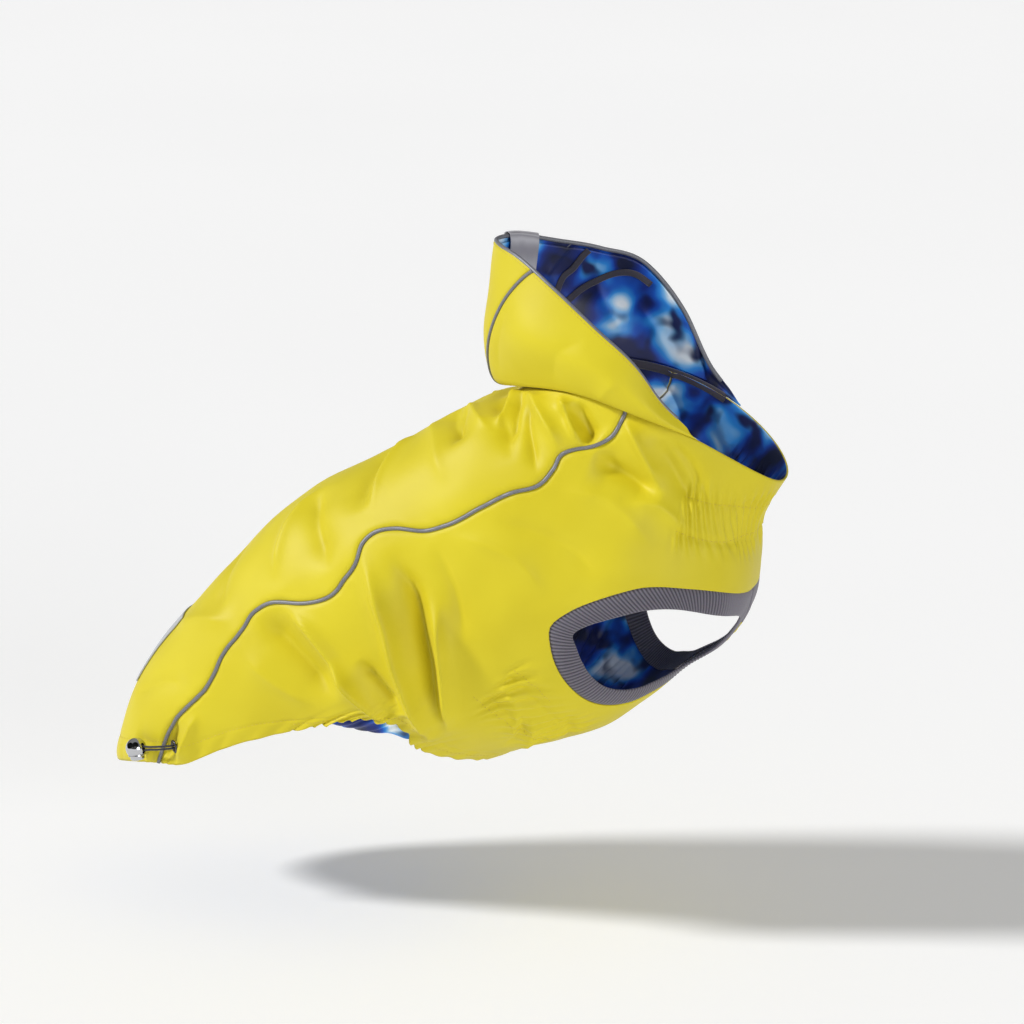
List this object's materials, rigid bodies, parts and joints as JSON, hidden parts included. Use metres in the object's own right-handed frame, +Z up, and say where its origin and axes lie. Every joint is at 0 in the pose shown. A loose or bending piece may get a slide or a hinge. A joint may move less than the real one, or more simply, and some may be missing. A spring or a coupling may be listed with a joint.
{
  "type": "dog raincoat",
  "caption": "Hooded waterproof coat for a small dog, worn shape: piped back panel, ribbed armholes, elastic belly and hem, blue lined hood turned down, hem drawcord with a lock.",
  "frame": {"origin": "on the wearer's withers, just under the back panel in front of the neck seam's low point", "axes": "+X from the tail hem to the chest, +Y to the garment's left side, +Z up"},
  "size_m": [0.459, 0.1944, 0.3677],
  "materials": {
    "yellow_cloth": "coated waterproof fabric, semi-gloss",
    "blue_lining": "smooth woven lining with a mottled dyed print",
    "grey_rib": "matte rib knit",
    "reflective_piping": "reflective woven piping, satin",
    "label_tape": "woven tape, matte",
    "reflective_tape": "reflective transfer, satin",
    "chrome": "polished",
    "black_elastic": "braided elastic, matte"
  },
  "bodies": {
    "root": {"back_panel": "yellow_cloth", "side_panel_right": "yellow_cloth", "side_panel_left": "yellow_cloth", "chest_strap": "yellow_cloth", "hood_centre_panel": "yellow_cloth", "hood_side_right": "yellow_cloth", "hood_side_left": "yellow_cloth", "hood_lining": "blue_lining", "hem_lining_right": "blue_lining", "hem_lining_left": "blue_lining", "armhole_rib_right": "grey_rib", "armhole_rib_left": "grey_rib", "body_piping_right": "reflective_piping", "body_piping_left": "reflective_piping", "hood_piping_right": "reflective_piping", "hood_piping_left": "reflective_piping", "hood_binding": "reflective_piping", "label_tab": "label_tape", "back_patch": "reflective_tape", "cord_eyelet": "chrome", "cord_lock_body": "chrome", "cord_lock_button": "chrome", "elastic_cord": "black_elastic"}
  },
  "joints": []
}
